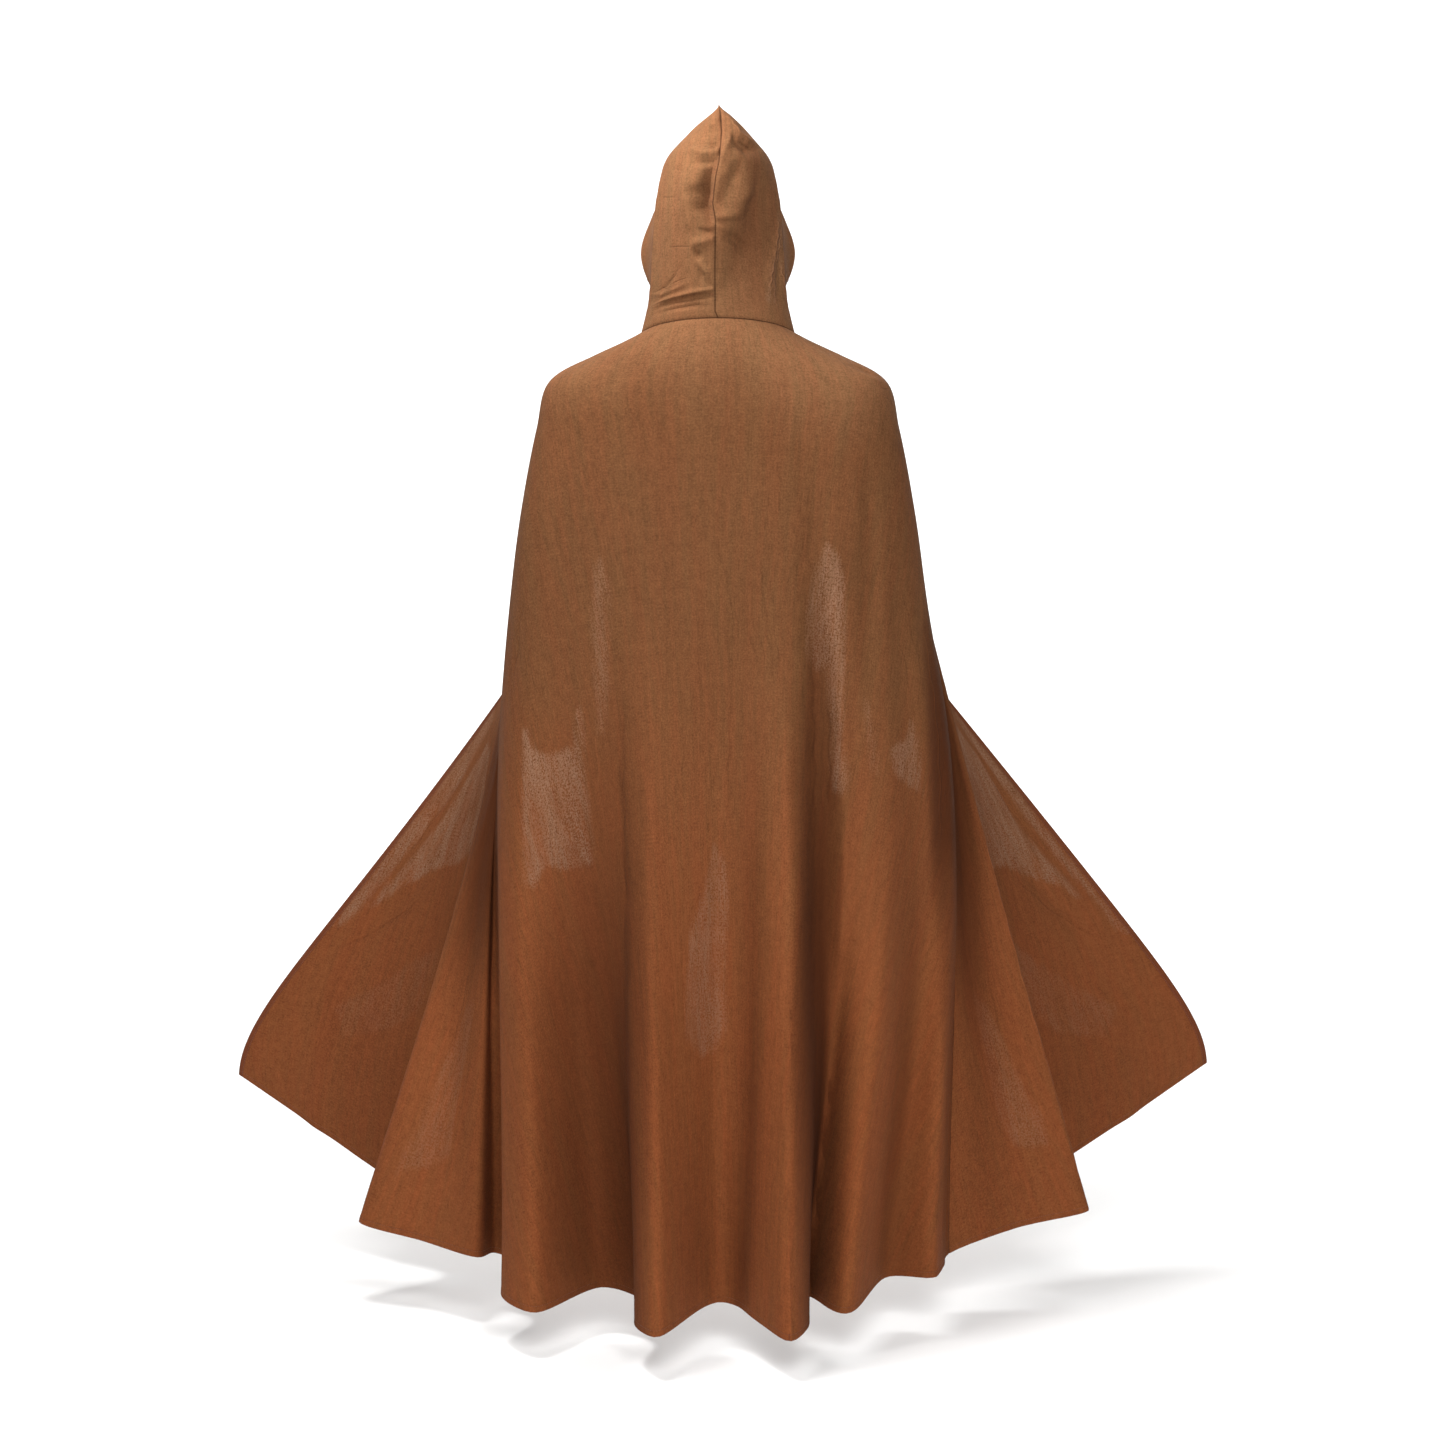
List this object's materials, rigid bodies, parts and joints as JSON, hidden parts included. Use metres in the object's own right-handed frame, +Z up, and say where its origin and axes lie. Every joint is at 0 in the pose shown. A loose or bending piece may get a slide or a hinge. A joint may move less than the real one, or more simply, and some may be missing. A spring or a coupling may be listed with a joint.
{
  "type": "hooded cloak",
  "caption": "Full-length hooded cloak worn open, with a pointed hood, deep folds down the back and its front panels held out to the sides.",
  "frame": {"origin": "the middle of the neck opening, at shoulder height, where the wearer's neck and shoulders hold the cloak up", "axes": "+Z up, the front of the garment faces -Y, the wearer's left is +X"},
  "size_m": [1.574, 0.8315, 1.7236],
  "materials": {
    "cloth": "thin plain-woven cloth, matt, rust brown",
    "button": "smooth dark brown"
  },
  "bodies": {
    "root": {"back": "cloth", "left_front": "cloth", "right_front": "cloth", "hood_left": "cloth", "hood_right": "cloth", "neck_button": "button", "neck_loop": "cloth"}
  },
  "joints": []
}
